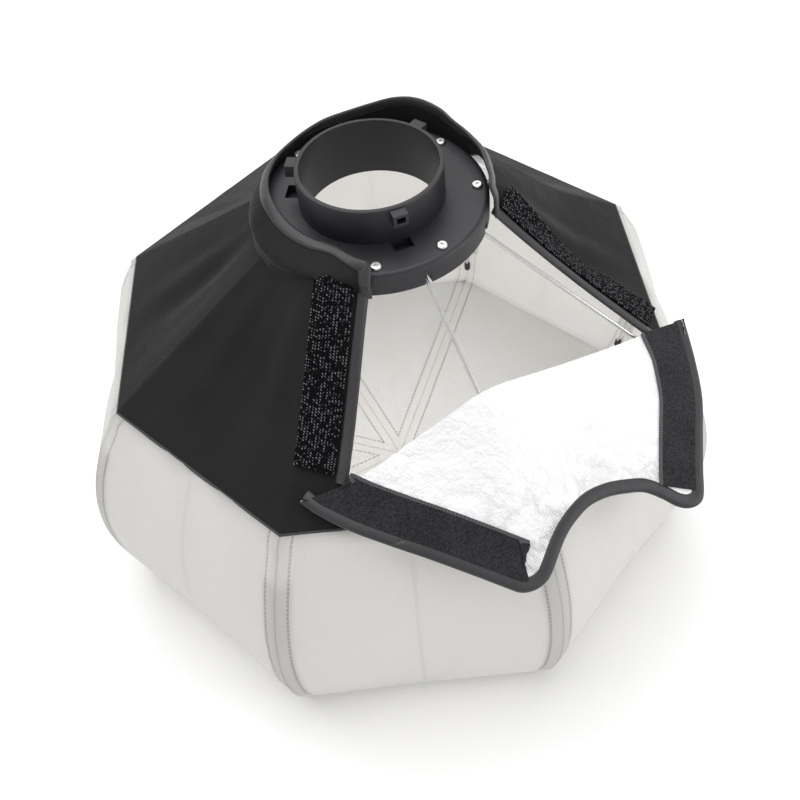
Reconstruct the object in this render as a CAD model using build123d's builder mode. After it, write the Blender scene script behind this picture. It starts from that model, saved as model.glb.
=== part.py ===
"""A folding octagonal studio softbox: a bayonet hub, eight hinged ribs, and a cloth shell with a flap."""
from build123d import *
from math import asin, cos, degrees, radians, sin, sqrt, tan
import os

os.makedirs("parts", exist_ok=True)

# Millimetres. The origin is the centre of the front face, which the softbox rests on, and +Z is its axis.

# Hub: a bayonet tube on a plate, screwed to a ring that holds the rib pins.
tube_r = 51.5
tube_wall = 3.0
tube_h = 28.0
plate_flange = 30.5
plate_over_pins = 13.983
plate_t = 7.0
ring_t = 10.5
plate_round = 3.5
rim_round = 1.0
lug_azimuths = (-73, 47, 167)
lug_reach = 6.0
lug_w = 10.5
lug_h = 9.0
lug_drop = 1.5
lug_wall = 2.2
notch_reach = 10.0
notch_w = 14.0
screw_azimuths = (-92, -55, -2, 43, 88, 133, 178, 223)
screw_r = 1.6
screw_gap = 0.2
screw_inset = 8.3
screw_head_r = 3.8
screw_head_h = 2.2
screw_tip_cover = 1.5
recess_l = 3.6
recess_w = 0.9
recess_d = 1.3

# Frame: each rib is a steel rod, and a spring-wire stay hangs from its outer end.
side_count = 8
first_azimuth = -157.5
rib_angle = 35.0
pin_inset = 10.0
pin_r = 1.5
pin_gap = 0.06
pin_seat = 3.0
rod_r = 1.5
eye_r = 4.0
eye_t = 4.0
eye_gap = 0.5
rib_end_inset = 6.5
clevis_r = 3.0
clevis_gap = 2.6
clevis_clear = 1.0
cheek_t = 1.4
socket_l = 9.0
socket_end = 4.0
stay_pin_r = 1.0
stay_pin_gap = 0.05
stay_r = 1.0
stay_eye_r = 2.4
stay_eye_t = 2.0
stay_end_z = 16.0
tip_r = 1.7
tip_grip = 3.0
tip_nose = 1.5
tip_fit = 0.02

# Cloth shell: radii are measured at the eight corners.
rim_r = 216.0
rim_z = 200.0
bulge = 42.0
belly_share = 0.425
level_shares = (0.12, 0.24, 0.36, 0.48, 0.6, 0.72, 0.86, 1.0)
foot_round = 5.0
wall_dr = 1.6
face_t = 1.2
cover_t = 1.2
lining_t = 0.8
cloth_gap = 0.4
rim_tape_h = 6.0
rim_tape_t = 0.9
neck_gap = 0.5
collar_gap = 2.5
collar_t = 1.5
collar_h = 29.0
collar_clear = 0.6
neck_tape_h = 4.0
neck_tape_lap = 0.4
sleeve_w = 25.0
sleeve_t = 0.6
sleeve_gap = 0.4
sleeve_inset = 18.0
pocket_r = 3.3
pocket_bore = 2.7
pocket_h = 6.0
pocket_floor = 2.0
tip_seat = 0.8

# Access opening: the edges of two slits, each from the collar down to the fold line of the flap.
left_slit = (-97.0, -102.0)
right_slit = (-14.0, -21.0)
fold_azimuth = -65.0
fold_margin = 71.0
slit_tape_w = 7.0
strip_w = 28.0
strip_t = 1.0
patch_gap = 0.2

# Flap: flat panels, drawn open. The laps are how far its edges pass the slits, and it ends short of the collar's edge.
left_foot_lap = 33.0
right_foot_lap = 26.0
left_corner_lap = 11.0
right_corner_lap = 32.0
left_corner_rise = 30.0
right_corner_rise = 32.0
arc_lean = 14.0
flap_short = 1.0
flap_t = 1.2
flap_lining_t = 0.8
flap_binding_w = 9.0
flap_binding_t = 3.6
loop_strip_w = 26.0
flap_clear = 0.8
flap_root = 3.0
bend_clear = 3.5
bend_gap = 1.2

# What follows from them.
slope = tan(radians(rib_angle))
bore_r = tube_r - tube_wall
plate_r = tube_r + plate_flange
screw_circle = plate_r - screw_inset
pivot_r = plate_r - pin_inset
rib_end_r = rim_r - rib_end_inset
fold_reach = rim_r - fold_margin
rod_drop = cover_t + cloth_gap + lining_t + clevis_clear + clevis_r
rod_inset = rod_drop / sin(radians(rib_angle))
pivot_z = rim_z + slope * (rim_r - rod_inset - pivot_r)
plate_top = pivot_z + plate_over_pins
tube_top = plate_top + tube_h
split_z = plate_top - plate_t
ring_bottom = split_z - ring_t
rib_end_z = rim_z + slope * (rim_r - rod_inset - rib_end_r)
rib_length = (rib_end_r - pivot_r) / cos(radians(rib_angle))
collar_r = plate_r + collar_gap
neck_r = collar_r + collar_t + neck_gap
collar_z = pivot_z - slope * (collar_r - pivot_r) + rod_r / cos(radians(rib_angle)) + collar_clear
belly_z = belly_share * rim_z
wall_radius = (bulge**2 + (rim_z - belly_z) ** 2) / (2 * bulge)
wall_axis_r = rim_r + bulge - wall_radius
stay_radius = sqrt((rib_end_r - wall_axis_r) ** 2 + (rib_end_z - belly_z) ** 2)
stay_start = degrees(asin((rib_end_z - belly_z) / stay_radius))
stay_end = degrees(asin((stay_end_z - belly_z) / stay_radius))
azimuths = [first_azimuth + 360 / side_count * k for k in range(side_count)]


def polar(radius, azimuth):
    """The point at this radius and azimuth, in plan."""
    return (radius * cos(radians(azimuth)), radius * sin(radians(azimuth)))


def meridian(azimuth):
    """The plane through the axis at this azimuth: its x is the radius, its y the height."""
    out = polar(1, azimuth)
    return Plane(origin=(0, 0, 0), x_dir=(out[0], out[1], 0), z_dir=(out[1], -out[0], 0))


def across(plane, point, offset=0.0):
    """A plane square to the rib at a point of its meridian, offset along the rib."""
    down = (cos(radians(rib_angle)), -sin(radians(rib_angle)))
    start = plane.from_local_coords((point[0] + offset * down[0], point[1] + offset * down[1], 0))
    ahead = plane.from_local_coords((point[0] + (offset + 1) * down[0], point[1] + (offset + 1) * down[1], 0))
    return Plane(origin=start, z_dir=ahead - start)


def wall_r(z):
    """The corner radius of the wall's outside at this height, with the rounded foot taken off."""
    foot = max(foot_round - z, 0)
    return wall_axis_r + sqrt(wall_radius**2 - (z - belly_z) ** 2) - foot_round + sqrt(foot_round**2 - foot**2)


def octagons(levels):
    """A solid through octagons of the given corner radii and heights."""
    with BuildPart() as block:
        for radius, height in levels:
            with BuildSketch(Plane.XY.offset(height)):
                RegularPolygon(radius, side_count, rotation=first_azimuth)
        loft(ruled=True)
    return block.part


def cone(edge_r):
    """A solid cone of eight faces at the ribs' slope, whose corners have this radius at the rim's height."""
    inner_r = plate_r - collar_gap
    return octagons([(edge_r, rim_z), (inner_r, rim_z + slope * (edge_r - inner_r))])


def cone_shell(edge_r, thickness):
    """The skin of that cone, outside the collar."""
    inside = cone(edge_r - thickness / sin(radians(rib_angle)))
    return cone(edge_r) - inside - Cylinder(neck_r, 4 * tube_top)


def column(points):
    """An upright column over an outline in plan, through the whole cone."""
    with BuildPart() as block:
        with BuildSketch():
            with BuildLine():
                Polyline(*points, close=True)
            make_face()
        extrude(amount=2 * tube_top)
    return block.part


# The opening in plan, and the bands of cloth along its two slits.
fold_out = polar(1, fold_azimuth)
fold_along = (-fold_out[1], fold_out[0])


def slit_ends(slit):
    """The top of a slit at the collar, and its foot on the fold line."""
    return polar(neck_r, slit[0]), polar(fold_reach / cos(radians(slit[1] - fold_azimuth)), slit[1])


left_top, left_foot = slit_ends(left_slit)
right_top, right_foot = slit_ends(right_slit)
opening = column([(0, 0), polar(2 * neck_r / 3, left_slit[0]), left_top, left_foot, right_foot, right_top])


def band(top, foot, side, near, far):
    """A column over a band beside a slit, between two distances from it."""
    run = Vector(foot[0] - top[0], foot[1] - top[1], 0).normalized()
    step = Vector(-run.Y, run.X, 0) * side
    start = Vector(*top) - run * strip_w
    end = Vector(*foot) + run * flap_root
    corners = [start + step * near, end + step * near, end + step * far, start + step * far]
    return column([(corner.X, corner.Y) for corner in corners])


# Hub.
with BuildPart() as bayonet_plate:
    with BuildSketch(Plane.XY.offset(split_z)):
        Circle(plate_r)
    extrude(amount=plate_t)
    fillet(bayonet_plate.edges().group_by(Axis.Z)[-1], plate_round)
    with BuildSketch(Plane.XY.offset(split_z)):
        Circle(tube_r)
    extrude(amount=tube_top - split_z)
    fillet(bayonet_plate.edges().group_by(Axis.Z)[-1], rim_round)
    for lug_azimuth in lug_azimuths:
        with BuildSketch(meridian(lug_azimuth)):
            with Locations((tube_r + lug_reach / 2, tube_top - lug_drop - lug_h / 2)):
                Rectangle(lug_reach + 2 * rim_round, lug_h)
        extrude(amount=lug_w / 2, both=True)
        with BuildSketch(meridian(lug_azimuth)):
            with Locations((tube_r + lug_reach / 2 + lug_wall / 2, tube_top - lug_drop - lug_h / 2)):
                Rectangle(lug_reach, lug_h - 2 * lug_wall)
        extrude(amount=lug_w / 2 - lug_wall, both=True, mode=Mode.SUBTRACT)
        with BuildSketch(meridian(lug_azimuth)):
            with Locations((tube_r + notch_reach / 2, plate_top - plate_t / 2)):
                Rectangle(notch_reach, 2 * plate_t)
        extrude(amount=notch_w / 2, both=True, mode=Mode.SUBTRACT)
    with BuildSketch(Plane.XY.offset(split_z)):
        Circle(bore_r)
    extrude(amount=tube_top - split_z, mode=Mode.SUBTRACT)
    with BuildSketch(Plane.XY.offset(split_z)):
        for screw_azimuth in screw_azimuths:
            with Locations(polar(screw_circle, screw_azimuth)):
                Circle(screw_r + screw_gap)
    extrude(amount=plate_t, mode=Mode.SUBTRACT)
bayonet_plate.part.label = "bayonet_plate"

with BuildPart() as hub_ring:
    with BuildSketch(Plane.XY.offset(ring_bottom)):
        Circle(plate_r)
        Circle(bore_r, mode=Mode.SUBTRACT)
    extrude(amount=ring_t)
    with BuildSketch(Plane.XY.offset(ring_bottom + screw_tip_cover)):
        for screw_azimuth in screw_azimuths:
            with Locations(polar(screw_circle, screw_azimuth)):
                Circle(screw_r)
    extrude(amount=ring_t, mode=Mode.SUBTRACT)
    slot_in = pivot_r - eye_r - eye_gap
    slot_top = pivot_z + eye_r + eye_gap
    for azimuth in azimuths:
        with BuildSketch(meridian(azimuth)):
            with Locations(((slot_in + 2 * plate_r) / 2, (slot_top + ring_bottom - ring_t) / 2)):
                Rectangle(2 * plate_r - slot_in, slot_top - ring_bottom + ring_t)
        extrude(amount=eye_t / 2 + eye_gap, both=True, mode=Mode.SUBTRACT)
        with BuildSketch(meridian(azimuth)):
            with Locations((pivot_r, pivot_z)):
                Circle(pin_r)
        extrude(amount=eye_t / 2 + eye_gap + pin_seat, both=True, mode=Mode.SUBTRACT)
hub_ring.part.label = "hub_ring"

with BuildPart() as hinge_pins:
    for azimuth in azimuths:
        with BuildSketch(meridian(azimuth)):
            with Locations((pivot_r, pivot_z)):
                Circle(pin_r)
        extrude(amount=eye_t / 2 + eye_gap + pin_seat, both=True)
hinge_pins.part.label = "hinge_pins"

with BuildPart() as hub_screws:
    with BuildSketch(Plane.XY.offset(ring_bottom + screw_tip_cover)):
        for screw_azimuth in screw_azimuths:
            with Locations(polar(screw_circle, screw_azimuth)):
                Circle(screw_r)
    extrude(amount=plate_top - ring_bottom - screw_tip_cover)
    with BuildSketch(Plane.XY.offset(plate_top)):
        for screw_azimuth in screw_azimuths:
            with Locations(polar(screw_circle, screw_azimuth)):
                Circle(screw_head_r)
    extrude(amount=screw_head_h)
    fillet(hub_screws.edges().group_by(Axis.Z)[-1], screw_head_h / 2)
    with BuildSketch(Plane.XY.offset(plate_top + screw_head_h - recess_d)):
        for screw_azimuth in screw_azimuths:
            with Locations(polar(screw_circle, screw_azimuth)):
                Rectangle(recess_l, recess_w)
                Rectangle(recess_w, recess_l)
    extrude(amount=recess_d, mode=Mode.SUBTRACT)
hub_screws.part.label = "hub_screws"

# Frame: one rib, its rim clevis with the stay's pin, the stay and its tip, eight times.
rib_end = (rib_end_r, rib_end_z)
pivot = (pivot_r, pivot_z)
frame_pieces = []
for number, azimuth in enumerate(azimuths, start=1):
    plane = meridian(azimuth)
    with BuildPart() as rib:
        with BuildSketch(plane):
            with Locations(pivot):
                Circle(eye_r)
        extrude(amount=eye_t / 2, both=True)
        with BuildSketch(across(plane, pivot)):
            Circle(rod_r)
        extrude(amount=rib_length - socket_end - cheek_t)
        with BuildSketch(plane):
            with Locations(pivot):
                Circle(pin_r + pin_gap)
        extrude(amount=eye_t, both=True, mode=Mode.SUBTRACT)
    rib.part.label = f"rib_{number}"

    with BuildPart() as clevis:
        with BuildSketch(across(plane, rib_end, -socket_end - socket_l)):
            Circle(clevis_r)
        extrude(amount=socket_l + socket_end)
        with BuildSketch(plane):
            with Locations(rib_end):
                Circle(clevis_r)
        extrude(amount=clevis_gap / 2 + cheek_t, both=True)
        with BuildSketch(plane):
            with Locations(rib_end):
                Circle(socket_end)
        extrude(amount=clevis_gap / 2, both=True, mode=Mode.SUBTRACT)
        with BuildSketch(plane):
            with Locations(rib_end):
                Circle(stay_pin_r)
        extrude(amount=clevis_gap / 2 + cheek_t, both=True)
        with BuildSketch(across(plane, rib_end, -socket_end - socket_l)):
            Circle(rod_r)
        extrude(amount=socket_l - cheek_t, mode=Mode.SUBTRACT)
    clevis.part.label = f"clevis_{number}"

    centre = plane.from_local_coords((wall_axis_r, belly_z, 0))
    spin = Axis(centre, plane.z_dir)
    hang = Plane(origin=plane.from_local_coords((*rib_end, 0)), z_dir=centre - plane.from_local_coords((*rib_end, 0)))
    with BuildPart() as stay:
        with BuildSketch(Plane(origin=hang.origin, x_dir=plane.z_dir, z_dir=plane.z_dir.cross(hang.z_dir))):
            Circle(stay_r)
        revolve(axis=spin, revolution_arc=stay_end - stay_start)
        with BuildSketch(plane):
            with Locations(rib_end):
                Circle(stay_eye_r)
        extrude(amount=stay_eye_t / 2, both=True)
        with BuildSketch(plane):
            with Locations(rib_end):
                Circle(stay_pin_r + stay_pin_gap)
        extrude(amount=stay_eye_t, both=True, mode=Mode.SUBTRACT)
    stay.part.label = f"stay_{number}"

    foot_r = wall_axis_r + stay_radius * cos(radians(stay_end))
    foot = plane.from_local_coords((foot_r, stay_end_z, 0))
    with BuildPart() as tip:
        with BuildSketch(Plane(origin=foot, x_dir=plane.z_dir, z_dir=plane.z_dir.cross(centre - foot))):
            Circle(tip_r)
        extrude(amount=tip_nose)
        with BuildSketch(Plane(origin=foot, x_dir=plane.z_dir, z_dir=plane.z_dir.cross(foot - centre))):
            Circle(tip_r)
            Circle(stay_r + tip_fit, mode=Mode.SUBTRACT)
        extrude(amount=tip_grip)
    tip.part.label = f"tip_{number}"
    frame_pieces += [rib, clevis, stay, tip]

# Cloth shell.
cover_shell = cone_shell(rim_r, cover_t) - opening
with BuildPart() as back_cover:
    add(cover_shell)
back_cover.part.label = "back_cover"

lining_edge_r = rim_r - (cover_t + cloth_gap) / sin(radians(rib_angle))
lining_shell = cone_shell(lining_edge_r, lining_t) - opening
with BuildPart() as silver_lining:
    add(lining_shell)
silver_lining.part.label = "silver_lining"

wall_levels = [0.0, foot_round / 3, foot_round] + [share * rim_z for share in level_shares]
wall_block = octagons([(wall_r(z), z) for z in wall_levels])
wall_hollow = octagons([(wall_r(z) - wall_dr, z) for z in wall_levels])
with BuildPart() as side_wall:
    add(wall_block)
    add(wall_hollow, mode=Mode.SUBTRACT)
side_wall.part.label = "side_wall"

with BuildPart() as front_diffuser:
    with BuildSketch():
        RegularPolygon(wall_r(0) - wall_dr - patch_gap, side_count, rotation=first_azimuth)
    extrude(amount=face_t)
front_diffuser.part.label = "front_diffuser"

rim_tape_levels = [(wall_r(z), z) for z in (rim_z - rim_tape_h, rim_z)]
tape_block = octagons([(radius + patch_gap + rim_tape_t, z) for radius, z in rim_tape_levels])
tape_hollow = octagons([(radius + patch_gap, z) for radius, z in rim_tape_levels])
with BuildPart() as rim_tape:
    add(tape_block)
    add(tape_hollow, mode=Mode.SUBTRACT)
rim_tape.part.label = "rim_tape"

collar_turn = 360 - (right_slit[0] - left_slit[0])
with BuildPart() as neck_collar:
    with BuildSketch(meridian(right_slit[0])):
        with Locations((collar_r + collar_t / 2, collar_z + collar_h / 2)):
            Rectangle(collar_t, collar_h)
    revolve(axis=Axis.Z, revolution_arc=collar_turn)
neck_collar.part.label = "neck_collar"

with BuildPart() as neck_tape:
    with BuildSketch(meridian(right_slit[0])):
        with Locations((collar_r + collar_t / 2, collar_z + collar_h + neck_tape_h / 2)):
            Rectangle(collar_t + 2 * neck_tape_lap, neck_tape_h)
    revolve(axis=Axis.Z, revolution_arc=collar_turn)
neck_tape.part.label = "neck_tape"

# Tapes and fastener strips lie on the cover, beside the slits.
patch_edge_r = rim_r + (patch_gap + strip_t) / sin(radians(rib_angle))
patch = cone_shell(patch_edge_r, strip_t)
tape_left = patch & band(left_top, left_foot, -1, 0, slit_tape_w)
tape_right = patch & band(right_top, right_foot, 1, 0, slit_tape_w)
hooks_left = patch & band(left_top, left_foot, -1, slit_tape_w + patch_gap, slit_tape_w + strip_w)
hooks_right = patch & band(right_top, right_foot, 1, slit_tape_w + patch_gap, slit_tape_w + strip_w)
with BuildPart() as slit_tape_left:
    add(tape_left)
slit_tape_left.part.label = "slit_tape_left"

with BuildPart() as slit_tape_right:
    add(tape_right)
slit_tape_right.part.label = "slit_tape_right"

with BuildPart() as hook_strip_left:
    add(hooks_left)
hook_strip_left.part.label = "hook_strip_left"

with BuildPart() as hook_strip_right:
    add(hooks_right)
hook_strip_right.part.label = "hook_strip_right"

# The sleeves hold the stays in the wall's corners, and a pocket at each foot holds the tip.
sleeve_r = stay_radius - stay_r - sleeve_gap
sleeve_start = degrees(asin((rib_end_z - sleeve_inset - belly_z) / sleeve_r))
sleeve_stop = degrees(asin((stay_end_z + pocket_h - belly_z) / sleeve_r))
with BuildPart() as rod_sleeves:
    for azimuth in azimuths:
        with BuildSketch(meridian(azimuth)):
            with BuildLine():
                outer_arc = CenterArc((wall_axis_r, belly_z), sleeve_r, sleeve_stop, sleeve_start - sleeve_stop)
                inner_arc = CenterArc(
                    (wall_axis_r, belly_z), sleeve_r - sleeve_t, sleeve_stop, sleeve_start - sleeve_stop
                )
                Line(outer_arc @ 0, inner_arc @ 0)
                Line(outer_arc @ 1, inner_arc @ 1)
            make_face()
        extrude(amount=sleeve_w / 2, both=True)
rod_sleeves.part.label = "rod_sleeves"

pocket_centre_r = wall_axis_r + stay_radius * cos(radians(stay_end))
pocket_z = stay_end_z - tip_nose - pocket_floor - tip_seat
with BuildPart() as corner_pockets:
    with BuildSketch(Plane.XY.offset(pocket_z)):
        for azimuth in azimuths:
            with Locations(polar(pocket_centre_r, azimuth)):
                Circle(pocket_r)
    extrude(amount=pocket_h)
    with BuildSketch(Plane.XY.offset(pocket_z + pocket_floor)):
        for azimuth in azimuths:
            with Locations(polar(pocket_centre_r, azimuth)):
                Circle(pocket_bore)
    extrude(amount=pocket_h, mode=Mode.SUBTRACT)
corner_pockets.part.label = "corner_pockets"

# Flap: it lies open on the cover, beyond the fold line, in a plane parallel to the ribs.
lift = (flap_binding_t / 2 + flap_clear) / cos(radians(rib_angle))
ridge_r = fold_reach / cos(radians(azimuths[2] - fold_azimuth))
fold_z = rim_z + slope * (rim_r - ridge_r) + lift
fold_point = (fold_reach * fold_out[0], fold_reach * fold_out[1], fold_z)
flap_plane = Plane(
    origin=fold_point,
    x_dir=(fold_out[0] * cos(radians(rib_angle)), fold_out[1] * cos(radians(rib_angle)), -sin(radians(rib_angle))),
    z_dir=(fold_out[0] * sin(radians(rib_angle)), fold_out[1] * sin(radians(rib_angle)), cos(radians(rib_angle))),
)


def unfolded(point):
    """A point of the closed flap in plan, mirrored over the fold line into the open flap's plane."""
    reach = point[0] * fold_out[0] + point[1] * fold_out[1]
    return ((fold_reach - reach) / cos(radians(rib_angle)), point[0] * fold_along[0] + point[1] * fold_along[1])


# The flap is as long as the slits and the collar, and its tail bends up along the collar when it is closed.
fold_left = (0, unfolded(left_foot)[1] - left_foot_lap)
fold_right = (0, unfolded(right_foot)[1] + right_foot_lap)
arc_reach = (fold_reach - neck_r) / cos(radians(rib_angle)) + collar_h + neck_tape_h - flap_short
corner_left = (arc_reach + left_corner_rise, unfolded(left_top)[1] + left_corner_lap)
corner_right = (arc_reach + right_corner_rise, unfolded(right_top)[1] + right_corner_lap)
arc_mid = (arc_reach, (corner_left[1] + corner_right[1]) / 2 - arc_lean)
bend_reach = (fold_reach - neck_r - bend_clear) / cos(radians(rib_angle))
with BuildSketch() as flap_outline:
    with BuildLine():
        Line(corner_left, fold_left)
        Line(fold_left, fold_right)
        Line(fold_right, corner_right)
        ThreePointArc(corner_right, arc_mid, corner_left)
    make_face()
with BuildSketch() as flap_core:
    add(flap_outline.sketch)
    offset(amount=-flap_binding_w, kind=Kind.INTERSECTION, mode=Mode.REPLACE)


def edge_band(start, end, near, far):
    """A band inside one edge of the flap, between two distances from it."""
    run = Vector(end[0] - start[0], end[1] - start[1], 0).normalized()
    step = Vector(-run.Y, run.X, 0)
    first = Vector(*start) - run * strip_w
    last = Vector(*end) + run * strip_w
    corners = [first + step * near, last + step * near, last + step * far, first + step * far]
    with BuildSketch() as sketch:
        with BuildLine():
            Polyline(*[(corner.X, corner.Y) for corner in corners], close=True)
        make_face()
    return sketch.sketch


def reach_window(near, far):
    """Everything between two distances from the fold line."""
    with BuildSketch() as sketch:
        with Locations(((near + far) / 2, 0)):
            Rectangle(far - near, 4 * fold_reach)
    return sketch.sketch


edge_left = edge_band(fold_left, corner_left, flap_binding_w, 4 * fold_reach)
edge_right = edge_band(corner_right, fold_right, flap_binding_w, 4 * fold_reach)
near_fold = flap_outline.sketch & edge_left & edge_right & reach_window(0, 2 * flap_binding_w)
field = flap_core.sketch + near_fold
border = flap_outline.sketch - field
strip_near = flap_binding_w + patch_gap
strip_left = field & edge_band(fold_left, corner_left, strip_near, strip_near + loop_strip_w)
strip_right = field & edge_band(corner_right, fold_right, strip_near, strip_near + loop_strip_w)
flap_pieces = []
main_window = reach_window(flap_root, bend_reach - bend_gap)
tail_window = reach_window(bend_reach + bend_gap, 2 * fold_reach)
for part_name, window in (("flap", main_window), ("tail", tail_window)):
    layers = (
        ("panel", field, -flap_t, flap_t),
        ("lining", field, 0, flap_lining_t),
        ("binding", border, -flap_binding_t / 2, flap_binding_t),
        ("loop_strip_left", strip_left, flap_lining_t, strip_t),
        ("loop_strip_right", strip_right, flap_lining_t, strip_t),
    )
    for layer_name, outline, layer_z, layer_t in layers:
        face = outline & window
        with BuildPart() as layer:
            with BuildSketch(flap_plane.offset(layer_z)):
                add(face)
            extrude(amount=layer_t)
        layer.part.label = f"{part_name}_{layer_name}"
        flap_pieces.append(layer)

pieces = [bayonet_plate, hub_ring, hinge_pins, hub_screws, *frame_pieces]
pieces += [back_cover, silver_lining, side_wall, front_diffuser, rim_tape, neck_collar, neck_tape]
pieces += [slit_tape_left, slit_tape_right, hook_strip_left, hook_strip_right, rod_sleeves, corner_pockets]
pieces += flap_pieces
for piece in pieces:
    export_step(piece.part, f"parts/{piece.part.label}.step")
print("pivot", pivot_r, round(pivot_z, 3), "rib end", rib_end_r, round(rib_end_z, 3))
print("bend", round(bend_reach, 3), "slope", rib_angle)
print("fold", [round(value, 3) for value in fold_point], "axis", [round(value, 5) for value in fold_along])
print("stay angles", round(stay_start, 3), round(stay_end, 3), "wall", round(wall_axis_r, 3), round(wall_radius, 3))
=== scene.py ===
"""The folding softbox: cloth shell, collar, flap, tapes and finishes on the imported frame."""
from math import atan2, copysign, cos, degrees, hypot, pi, radians, sin, sqrt, tan

import bmesh
import bpy
from mathutils import Matrix, Vector


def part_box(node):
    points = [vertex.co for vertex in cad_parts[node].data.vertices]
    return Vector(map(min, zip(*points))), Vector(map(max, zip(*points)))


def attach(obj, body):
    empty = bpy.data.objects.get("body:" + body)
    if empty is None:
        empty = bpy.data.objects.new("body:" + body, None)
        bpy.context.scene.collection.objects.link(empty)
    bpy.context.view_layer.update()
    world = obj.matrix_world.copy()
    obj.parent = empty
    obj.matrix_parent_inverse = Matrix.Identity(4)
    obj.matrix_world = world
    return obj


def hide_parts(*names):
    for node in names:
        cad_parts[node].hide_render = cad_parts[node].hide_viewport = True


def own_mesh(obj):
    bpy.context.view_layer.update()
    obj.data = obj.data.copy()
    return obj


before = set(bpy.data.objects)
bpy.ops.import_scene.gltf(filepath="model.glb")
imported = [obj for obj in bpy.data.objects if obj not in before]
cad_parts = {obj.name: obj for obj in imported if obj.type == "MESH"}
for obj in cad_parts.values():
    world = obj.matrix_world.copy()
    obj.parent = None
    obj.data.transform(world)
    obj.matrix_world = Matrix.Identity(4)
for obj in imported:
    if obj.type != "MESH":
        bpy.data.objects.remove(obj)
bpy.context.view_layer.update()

bl_info = {
    "name": "Folding Softbox",
    "version": (1, 0, 0),
    "blender": (4, 5, 0),
    "location": "3D View > Sidebar > Softbox",
    "description": "Builds the cloth, tapes and finishes of a folding octagonal softbox",
    "category": "Object",
}

# Metres, from the frame: the rim, the widest part of the wall, the hub and the ribs.
SIDES = 8
SIDE = 360 / SIDES
HALF = radians(SIDE / 2)
CORNERS = [-157.5 + SIDE * k for k in range(SIDES)]
LEAN = radians(35)
SLOPE = tan(LEAN)
RIM_Z = float(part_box("rim_tape")[1][2])
RIM_R = 0.216
BELLY_Z = 0.085
BELLY_R = 0.258
BULGE = BELLY_R - RIM_R
WALL_ARC = (BULGE**2 + (RIM_Z - BELLY_Z) ** 2) / (2 * BULGE)
WALL_AXIS = BELLY_R - WALL_ARC
FOOT = 0.005
NECK_R = 0.0865
# The two slits as (azimuth at the collar, azimuth at the fold), and the fold line in plan.
FOLD_AZIMUTH = -65.0
FOLD_REACH = 0.145
CUT_REACH = 0.155
SLITS = {"left": (-97.0, -102.0), "right": (-14.0, -21.0)}
# Where the cover is turned up to meet the collar beside each slit: azimuth and height.
TURNED_UP = ((12, 0.021), (-118, 0.017))
FOLD_POINT = Vector((0.06128, -0.131415, 0.252792))
FOLD_TURN = radians(25)
FOLD_ALONG = Vector((cos(FOLD_TURN), sin(FOLD_TURN), 0))
FLAP_DOWN = Vector((sin(FOLD_TURN) * cos(LEAN), -cos(FOLD_TURN) * cos(LEAN), -sin(LEAN)))
FLAP_UP = FOLD_ALONG.cross(FLAP_DOWN) * -1
BEND_REACH = 0.067143
# Where the cover divides into two bands, and the share of its width that each gore keeps when folded.
COVER_SPLIT = 0.57
OUTER_KEEP = 0.40
INNER_KEEP = 0.64
# The bindings, and the loop and hook strips beside them.
TAPE_WIDE = 0.0085
LOOP_WIDE = 0.026
LOOP_LONG = {"left": 0.150, "right": 0.112}
LOOP_SHARES = {"left": (0.0, 0.285), "right": (0.82, 1.0)}
HOOK_SETBACK = 0.0072
HOOK_WIDE = 0.0265
WELD = 1e-6
# The collar's free edge: azimuth, radius and height in millimetres, anticlockwise from the right slit.
COLLAR_EDGE = (
    (-14, 83, 322), (-8, 83, 321), (2, 82, 320), (14, 83, 320), (26, 83, 320), (40, 84, 321),
    (51, 88, 323), (63, 90, 325), (74, 88, 325), (87, 87, 320), (99, 87, 316), (113, 84, 316),
    (125, 81, 316), (136, 79, 316), (148, 78, 316), (160, 76, 316), (172, 73, 318), (186, 70, 319),
    (200, 66, 315), (214, 64, 314), (229, 63, 314), (244, 63, 314), (258, 75, 315), (263, 79, 315),
)
# The flap laid open, in millimetres down its slope and along the fold: its fold edge and its free edge.
FOLD_EDGE = (
    (-144, 17), (-125, 19), (-103, 20), (-60, 14), (-25, 9), (-8, 7), (10, 8), (50, 14), (90, 19), (113, 21),
    (135, 23), (149, 25),
)
FREE_EDGE = (
    (-144, 17), (-138, 28), (-124, 46), (-106, 65), (-87, 84), (-66, 106), (-52, 121), (-44, 129),
    (-35, 132), (-26, 131), (-19, 127), (-8, 118), (2, 111), (13, 106), (25, 103), (39, 104),
    (52, 108), (63, 113), (72, 122), (79, 131), (86, 136), (94, 137), (100, 133), (108, 119),
    (120, 99), (133, 77), (142, 52), (149, 25),
)
# The flap's hanging ends drop along lines to this point.
EYE = Vector((0, -0.5627, 0.7733))


def ring_radius(corner_r, azimuth):
    """The radius, at this azimuth, of an octagon with this corner radius."""
    face = SIDE * round(azimuth / SIDE)
    return corner_r * cos(HALF) / cos(radians(azimuth - face))


def between(azimuth):
    """0 at a corner of the octagon, 1 in the middle of a side."""
    return (1 + cos(radians(8 * azimuth))) / 2


def smooth(value):
    """An even rise from 0 to 1."""
    value = min(max(value, 0), 1)
    return value * value * (3 - 2 * value)


def along(points, share):
    """A point of a smooth line through evenly spaced points, at this share of its length."""
    last = len(points) - 1
    index = min(int(share * last), last - 1)
    part = share * last - index
    near = [Vector(points[min(max(index + step, 0), last)]) for step in (-1, 0, 1, 2)]
    bend = (near[2] - near[0]) / 2
    leave = (near[3] - near[1]) / 2
    return (
        near[1] * (2 * part**3 - 3 * part**2 + 1) + bend * (part**3 - 2 * part**2 + part)
        + near[2] * (3 * part**2 - 2 * part**3) + leave * (part**3 - part**2)
    )


def spot(azimuth, radius, z):
    """A point at this azimuth, in degrees, radius and height."""
    return Vector((radius * cos(radians(azimuth)), radius * sin(radians(azimuth)), z))


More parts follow.
